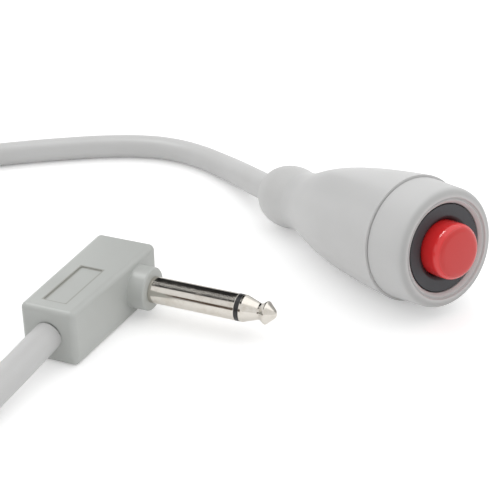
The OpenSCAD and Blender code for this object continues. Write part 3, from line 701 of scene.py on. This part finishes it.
def spring_tree():
    """A round wire wound on a helix, as a Geometry Nodes tree with its sizes as inputs."""
    tree = bpy.data.node_groups.new("wound_spring", "GeometryNodeTree")
    tree.interface.new_socket("Geometry", in_out="INPUT", socket_type="NodeSocketGeometry")
    for name, kind in (
        ("Turns", "Float"), ("Coil Radius", "Float"), ("Free Height", "Float"),
        ("Wire Radius", "Float"), ("Finish", "Material"),
    ):
        tree.interface.new_socket(name, in_out="INPUT", socket_type="NodeSocket" + kind)
    tree.interface.new_socket("Geometry", in_out="OUTPUT", socket_type="NodeSocketGeometry")
    nodes, links = tree.nodes, tree.links
    given = nodes.new("NodeGroupInput")
    result = nodes.new("NodeGroupOutput")
    helix = nodes.new("GeometryNodeCurveSpiral")
    helix.inputs["Resolution"].default_value = 36
    wire = nodes.new("GeometryNodeCurvePrimitiveCircle")
    wire.inputs["Resolution"].default_value = 12
    sweep = nodes.new("GeometryNodeCurveToMesh")
    sweep.inputs["Fill Caps"].default_value = True
    smooth = nodes.new("GeometryNodeSetShadeSmooth")
    real = nodes.new("GeometryNodeRealizeInstances")
    finish = nodes.new("GeometryNodeSetMaterial")
    for start, end in (
        (given.outputs["Turns"], helix.inputs["Rotations"]),
        (given.outputs["Coil Radius"], helix.inputs["Start Radius"]),
        (given.outputs["Coil Radius"], helix.inputs["End Radius"]),
        (given.outputs["Free Height"], helix.inputs["Height"]),
        (given.outputs["Wire Radius"], wire.inputs["Radius"]),
        (helix.outputs["Curve"], sweep.inputs["Curve"]),
        (wire.outputs["Curve"], sweep.inputs["Profile Curve"]),
        (sweep.outputs["Mesh"], smooth.inputs["Geometry"]),
        (smooth.outputs["Geometry"], real.inputs["Geometry"]),
        (real.outputs["Geometry"], finish.inputs["Geometry"]),
        (given.outputs["Finish"], finish.inputs["Material"]),
        (finish.outputs["Geometry"], result.inputs["Geometry"]),
    ):
        links.new(start, end)
    return tree


def made_by_tree(name, tree, values, place):
    """Runs a Geometry Nodes tree on an empty piece and keeps the plain mesh that it makes."""
    maker = bpy.data.objects.new(name + "_maker", bpy.data.meshes.new(name + "_maker"))
    bpy.context.collection.objects.link(maker)
    modifier = maker.modifiers.new("make", "NODES")
    modifier.node_group = tree
    inputs = {
        item.name: item.identifier for item in tree.interface.items_tree
        if item.item_type == "SOCKET" and item.in_out == "INPUT"
    }
    for label, value in values.items():
        modifier[inputs[label]] = value
    seen = maker.evaluated_get(bpy.context.evaluated_depsgraph_get())
    mesh = bpy.data.meshes.new_from_object(seen)
    mesh.name = name
    mesh.transform(place)
    bpy.data.objects.remove(maker)
    piece = bpy.data.objects.new(name, mesh)
    bpy.context.collection.objects.link(piece)
    return piece


spring_steel = metal(
    "spring_steel", colour=(0.50, 0.50, 0.52), tarnish=(0.30, 0.27, 0.24), tarnishing=0.3,
    roughness=0.28, line_depth=0.1, place=handset_place)
spring = made_by_tree("return_coil_spring", spring_tree(), {
    "Turns": 6.0, "Coil Radius": spring_r * mm, "Free Height": (spring_high - spring_low) * mm,
    "Wire Radius": spring_wire_r * mm, "Finish": spring_steel,
}, handset_place @ Matrix.Translation((0, 0, spring_low * mm)))
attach(spring, "handset")
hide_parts("return_spring")
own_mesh(spring)

# Bridge and contacts. Stamped brass: a bar on the plunger's end, and two fixed contacts with blades
# that the wires are soldered to. A zinc plated push nut holds the bar.
brass_look = {
    "colour": (0.72, 0.50, 0.20), "tarnish": (0.35, 0.22, 0.10), "tarnishing": 0.5,
    "roughness": 0.30, "line_depth": 0.2,
}
brass = metal("brass", place=handset_place, **brass_look)
finish_nodes(brass, "contact_bridge", "terminals")
finish_nodes(zinc_steel, "bridge_retainer")

# Switch base. A black plastic plug in the rear of the barrel, which it closes. The two terminals
# stand in it.
base_plastic = moulded(
    "base_plastic", colour=(0.030, 0.030, 0.032), soil_and_shade=(0.07, 0.07, 0.07), soiling=0.3,
    roughness=0.5, polish=0.1, grain_size=2400, grain_depth=0.2)
finish_nodes(base_plastic, "switch_base")

# Sleeves and wires. Black shrink sleeves over the soldered joints, and thin insulated wires that
# run from the lead's jacket to the terminals and, in the plug, to its two lugs.
finish_nodes(black_rubber, "terminal_sleeves")
wire_insulation = moulded(
    "wire_insulation", colour=(0.42, 0.05, 0.04), soil_and_shade=(0.30, 0.05, 0.04), soiling=0.3,
    roughness=0.4, polish=0.05, grain_size=1500, grain_depth=0.05)
finish_nodes(wire_insulation, "lead_wires", "plug_wires")

# Plug body. A right angle moulding in pale grey plastic with a slight green cast, tapered towards
# the lead, with soft edges, a round boss for the barrel and a bare recessed panel on its face.
plug_origin = (-0.020, -0.060, 0.0068)
plug_turn = math.radians(31)
plug_place = Matrix.Translation(plug_origin) @ Matrix.Rotation(plug_turn, 4, "Z")
jack_place = plug_place @ Matrix.Rotation(math.pi / 2, 4, "Y")
body_tail_y, body_head_y, body_tail_w, body_head_w = -27.38, 9.62, 13.7, 15.6
body_thickness, body_round = 13.6, 1.4
boss_r, boss_mouth_r, boss_face_x, boss_edge_r = 5.2, 3.3, 11.8, 0.5
hole_r, hole_floor_x, hole_past_x = 2.795, 4.0, 13.0
panel_y, panel_half_w, panel_half_l, panel_round = -15.38, 2.85, 8.25, 0.5
panel_floor_z, panel_past_z = 6.45, 7.4
soft_edge = 0.14


def rounded_rectangle(half_a, half_b, radius, steps):
    """Points round a rectangle whose halves reach to the middles of its rounded corners."""
    return [
        (side_a * half_a + radius * math.cos(math.radians(angle)),
         side_b * half_b + radius * math.sin(math.radians(angle)))
        for first, side_a, side_b in ((0, 1, 1), (90, -1, 1), (180, -1, -1), (270, 1, -1))
        for angle in [first + 90 * i / steps for i in range(steps + 1)]
    ]


def body_section(y, width, inset):
    """A section across the plug's body, drawn in by an inset and with its corners eased."""
    radius = body_round - 0.6 * inset
    corner_x, corner_z = width / 2 - inset - radius, body_thickness / 2 - inset - radius
    return [(x, y, z) for x, z in rounded_rectangle(corner_x, corner_z, radius, 7)]


def round_section(x, radius, sides=96):
    """A circle across the jack's axis."""
    return [
        (x, radius * math.cos(2 * math.pi * k / sides), radius * math.sin(2 * math.pi * k / sides))
        for k in range(sides)
    ]


def lofted_form(name, sections):
    """A closed form with walls between successive sections, to be joined to another or cut out."""
    form_bm = bmesh.new()
    rows = [[form_bm.verts.new(Vector(p) * mm) for p in section] for section in sections]
    for low, high in zip(rows, rows[1:]):
        for k in range(len(low)):
            after = (k + 1) % len(low)
            form_bm.faces.new((low[k], low[after], high[after], high[k]))
    form_bm.faces.new(list(reversed(rows[0])))
    form_bm.faces.new(rows[-1])
    bmesh.ops.recalc_face_normals(form_bm, faces=form_bm.faces)
    mesh = bpy.data.meshes.new(name)
    form_bm.to_mesh(mesh)
    form_bm.free()
    form = bpy.data.objects.new(name, mesh)
    bpy.context.collection.objects.link(form)
    return form


quarter_turn = [math.pi / 2 * i / 8 for i in range(9)]
body_form = lofted_form("plug_body_form", [
    body_section(end_y + inward * body_round * (1 - math.sin(a)), width,
                 body_round * (1 - math.cos(a)))
    for end_y, inward, width, angles in (
        (body_tail_y, 1, body_tail_w, reversed(quarter_turn)),
        (body_head_y, -1, body_head_w, quarter_turn))
    for a in angles
])
boss_outline = filleted([
    (boss_r, 0.0), (boss_r, boss_face_x, boss_edge_r), (boss_mouth_r, boss_face_x)])
boss_form = lofted_form("boss_form", [round_section(x, r) for r, x in boss_outline[:-1]])
hole_form = lofted_form(
    "barrel_hole_form", [round_section(x, hole_r) for x in (hole_floor_x, hole_past_x)])
panel_form = lofted_form("panel_form", [
    [(x, panel_y + y, z) for x, y in rounded_rectangle(
        panel_half_w - panel_round, panel_half_l - panel_round, panel_round, 5)]
    for z in (panel_floor_z, panel_past_z)
])
for operation, tool in (
    ("UNION", boss_form), ("DIFFERENCE", hole_form), ("DIFFERENCE", panel_form),
):
    cut = body_form.modifiers.new(tool.name, "BOOLEAN")
    cut.operation = operation
    cut.solver = "EXACT"
    cut.object = tool
soften = body_form.modifiers.new("soft_edges", "BEVEL")
soften.limit_method = "ANGLE"
soften.angle_limit = math.radians(50)
soften.width = soft_edge * mm
soften.segments = 3
body_mesh = bpy.data.meshes.new_from_object(
    body_form.evaluated_get(bpy.context.evaluated_depsgraph_get()))
for form in (body_form, boss_form, hole_form, panel_form):
    bpy.data.objects.remove(form)
body_bm = bmesh.new()
body_bm.from_mesh(body_mesh)
plug_body = link_piece("plug_moulding", body_bm, plug_place)
plug_plastic = moulded(
    "plug_plastic", colour=(0.52, 0.535, 0.515), soil_and_shade=(0.34, 0.34, 0.31), soiling=0.14,
    roughness=0.36, polish=0.08, grain_size=3000, grain_depth=0.12)


def panel_edge_painted_shade(material, reach, strength):
    """Painted shade: a dark line along the outline of the bare panel, on the face that it lies in."""
    nodes, links = material.node_tree.nodes, material.node_tree.links
    parts = add_local_place(nodes, links, plug_place)
    outside = []
    for axis, centre, half in (("X", 0, panel_half_w), ("Y", panel_y, panel_half_l)):
        apart = add_math(nodes, "SUBTRACT", None, centre)
        away = add_math(nodes, "ABSOLUTE")
        past = add_math(nodes, "SUBTRACT", None, half)
        links.new(parts.outputs[axis], apart.inputs[0])
        links.new(apart.outputs["Value"], away.inputs[0])
        links.new(away.outputs["Value"], past.inputs[0])
        outside.append(past)
    outline = add_math(nodes, "MAXIMUM")
    off_line = add_math(nodes, "ABSOLUTE")
    near = add_range(nodes, 0.0, reach, strength, 0.0, "SMOOTHERSTEP")
    top = add_range(nodes, low=6.0, high=6.3)
    both = add_math(nodes, "MULTIPLY")
    for start, end in (
        (outside[0].outputs["Value"], outline.inputs[0]),
        (outside[1].outputs["Value"], outline.inputs[1]),
        (outline.outputs["Value"], off_line.inputs[0]),
        (off_line.outputs["Value"], near.inputs["Value"]),
        (parts.outputs["Z"], top.inputs["Value"]),
        (near.outputs["Result"], both.inputs[0]),
        (top.outputs["Result"], both.inputs[1]),
        (both.outputs["Value"], nodes["finish"].inputs["Painted Shade"]),
    ):
        links.new(start, end)


# Painted shade outlines the recessed panel on all four sides.
panel_edge_painted_shade(plug_plastic, reach=0.55, strength=1.0)
dress(plug_body, plug_plastic, "plug_plastic", "handset", "plug_body")

# Jack. A nickel plated barrel with an anchoring flange inside the body, a black insulating ring and
# a turned tip, in line on one rod that is insulated from the barrel.
jack_r, rod_r, rod_tube_r, root_r, anchor_r = 3.175, 1.25, 2.22, 2.775, 4.3
rod_back_x, anchor_back_x, anchor_face_x, root_end_x = -3.0, 4.2, 5.8, 11.82
ring_bore_r, ring_x, tip_x, tip_end_x = 1.27, 33.6, 34.7, 42.9
tip_neck_r, tip_head_r = 1.97, 2.73
jack_sides = 96
nickel = metal(
    "nickel", colour=(0.66, 0.63, 0.58), tarnish=(0.40, 0.33, 0.25), tarnishing=0.30,
    roughness=0.13, line_depth=0.12, place=jack_place)
barrel = turned("jack_barrel", [
    (rod_tube_r, anchor_back_x), (anchor_r, anchor_back_x, 0.1), (anchor_r, anchor_face_x, 0.1),
    (root_r, anchor_face_x), (root_r, root_end_x), (jack_r, root_end_x, 0.1),
    (jack_r, ring_x, 0.12), (rod_tube_r, ring_x),
], jack_place, jack_sides)
dress(barrel, nickel, "nickel", "handset", "plug_sleeve")
ring_plastic = moulded(
    "ring_plastic", colour=(0.015, 0.015, 0.016), soil_and_shade=(0.05, 0.05, 0.05), soiling=0.2,
    roughness=0.3, polish=0.08, grain_size=2400, grain_depth=0.1)
jack_ring = turned("jack_ring", [
    (ring_bore_r, ring_x), (jack_r, ring_x, 0.08), (jack_r, tip_x, 0.08), (ring_bore_r, tip_x),
], jack_place, jack_sides)
dress(jack_ring, ring_plastic, "black_plastic", "handset", "plug_insulating_ring")
tip = turned("jack_tip", [
    (0, rod_back_x), (rod_r, rod_back_x, 0.1), (rod_r, tip_x), (jack_r, tip_x, 0.08),
    (jack_r, 35.27, 0.25), (tip_neck_r, 38.8, 0.6), (tip_neck_r, 39.3, 0.4),
    (tip_head_r, 40.44, 0.5), (tip_head_r, 40.77, 0.5), (1.14, 42.5, 0.6),
    (0.6, tip_end_x, 0.3), (0, tip_end_x),
], jack_place, jack_sides)
dress(tip, nickel, "nickel", "handset", "plug_tip")
finish_nodes(natural_plastic, "plug_rod_tube")
plug_brass = metal("plug_brass", place=jack_place, **brass_look)
finish_nodes(plug_brass, "tip_lug", "sleeve_lug")

# Studio. A plain pale floor that runs out to white, a pale sky that is dimmer ahead of the button,
# and one large soft light above. A narrow lamp draws only the streak on the button's edge, and two
# cards are seen only in reflections.
floor_half, floor_z = 6.0, -0.00005
floor_mesh = bpy.data.meshes.new("floor")
floor_mesh.from_pydata(
    [(x * floor_half, y * floor_half, floor_z) for x, y in ((-1, -1), (1, -1), (1, 1), (-1, 1))],
    [], [(0, 1, 2, 3)])
floor = bpy.data.objects.new("floor", floor_mesh)
bpy.context.collection.objects.link(floor)
floor_paint = bpy.data.materials.new("floor_paint")
floor_paint.use_nodes = True
floor_nodes, floor_links = floor_paint.node_tree.nodes, floor_paint.node_tree.links
floor_shader = floor_nodes["Principled BSDF"]
floor_shader.inputs["Base Color"].default_value = (0.92, 0.92, 0.92, 1)
floor_shader.inputs["Roughness"].default_value = 0.9
floor_shader.inputs["Specular IOR Level"].default_value = 0.0
floor_shader.inputs["Emission Color"].default_value = (1, 1, 1, 1)
floor_rays = floor_nodes.new("ShaderNodeLightPath")
floor_seen = add_math(floor_nodes, "MAXIMUM")
floor_lift = add_math(floor_nodes, "MULTIPLY", None, 0.30)
for start, end in (
    (floor_rays.outputs["Is Camera Ray"], floor_seen.inputs[0]),
    (floor_rays.outputs["Is Glossy Ray"], floor_seen.inputs[1]),
    (floor_seen.outputs["Value"], floor_lift.inputs[0]),
    (floor_lift.outputs["Value"], floor_shader.inputs["Emission Strength"]),
):
    floor_links.new(start, end)
floor_mesh.materials.append(floor_paint)


def studio_card(name, first, last, distance, colour, ends=(-40, 25)):
    """A card bent round the jack's axis that only reflections see; it draws streaks on the nickel."""
    card_bm = bmesh.new()
    rows = []
    for x in ends:
        rows.append([
            card_bm.verts.new((x * mm, -distance * math.cos(math.radians(a)) * mm,
                               distance * math.sin(math.radians(a)) * mm))
            for a in range(first, last + 1, 5)
        ])
    for k in range(len(rows[0]) - 1):
        card_bm.faces.new((rows[0][k], rows[1][k], rows[1][k + 1], rows[0][k + 1]))
    mesh = bpy.data.meshes.new(name)
    card_bm.to_mesh(mesh)
    card_bm.free()
    mesh.transform(plug_place)
    card = bpy.data.objects.new(name, mesh)
    bpy.context.collection.objects.link(card)
    paint = bpy.data.materials.new(name)
    paint.use_nodes = True
    card_shader = paint.node_tree.nodes["Principled BSDF"]
    card_shader.inputs["Base Color"].default_value = (*colour, 1)
    card_shader.inputs["Specular IOR Level"].default_value = 0.0
    mesh.materials.append(paint)
    card.visible_camera = card.visible_diffuse = card.visible_shadow = False
    card.visible_transmission = card.visible_volume_scatter = False


studio_card("dark_card", first=60, last=165, distance=70, colour=(0.02, 0.02, 0.02))
studio_card("brown_card", first=-5, last=15, distance=60, colour=(0.12, 0.08, 0.055))

world = bpy.data.worlds.new("studio")
world.use_nodes = True
bpy.context.scene.world = world
sky_nodes, sky_links = world.node_tree.nodes, world.node_tree.links
sky = sky_nodes["Background"]
sky.inputs["Color"].default_value = (1, 1, 1, 1)
sky_rays = sky_nodes.new("ShaderNodeLightPath")
sky_seen = add_math(sky_nodes, "MAXIMUM")
sky_seen_through = add_math(sky_nodes, "MAXIMUM")
sky_level = add_range(sky_nodes, 0.0, 1.0, None, 1.0)
sky_place = sky_nodes.new("ShaderNodeTexCoord")
sky_ahead = sky_nodes.new("ShaderNodeVectorMath")
sky_ahead.operation = "DOT_PRODUCT"
sky_ahead.inputs[1].default_value = (0.98, -0.1, 0.1)
sky_shade = add_range(sky_nodes, -1.0, 1.0, 1.08, 0.59)
for start, end in (
    (sky_place.outputs["Generated"], sky_ahead.inputs[0]),
    (sky_ahead.outputs["Value"], sky_shade.inputs["Value"]),
    (sky_shade.outputs["Result"], sky_level.inputs["To Min"]),
    (sky_rays.outputs["Is Camera Ray"], sky_seen.inputs[0]),
    (sky_rays.outputs["Is Glossy Ray"], sky_seen.inputs[1]),
    (sky_seen.outputs["Value"], sky_seen_through.inputs[0]),
    (sky_rays.outputs["Is Transmission Ray"], sky_seen_through.inputs[1]),
    (sky_seen_through.outputs["Value"], sky_level.inputs["Value"]),
    (sky_level.outputs["Result"], sky.inputs["Strength"]),
):
    sky_links.new(start, end)


def soft_light(name, place, aim, length, width, turn, power):
    """An oval lamp that faces a point, with its long way turned about its own axis."""
    data = bpy.data.lights.new(name, "AREA")
    data.shape = "ELLIPSE"
    data.size, data.size_y = length, width
    data.energy = power
    lamp = bpy.data.objects.new(name, data)
    lamp.location = place
    lamp.rotation_mode = "QUATERNION"
    lamp.rotation_quaternion = (Vector(place) - Vector(aim)).to_track_quat("Z", "Y") @ Quaternion(
        (0, 0, 1), math.radians(turn))
    bpy.context.collection.objects.link(lamp)
    return lamp


soft_light(
    "overhead_light", (0.10, 0.25, 0.75), aim=(0, 0, 0.01), length=1.2, width=1.2, turn=0,
    power=1.95)
streak_light = soft_light(
    "streak_light", (-0.29, -0.20, 0.72), aim=(0.035, 0, 0.018), length=0.42, width=0.18,
    turn=132, power=2.2)
streak_light.visible_diffuse = False

bpy.context.scene.view_settings.view_transform = "Standard"
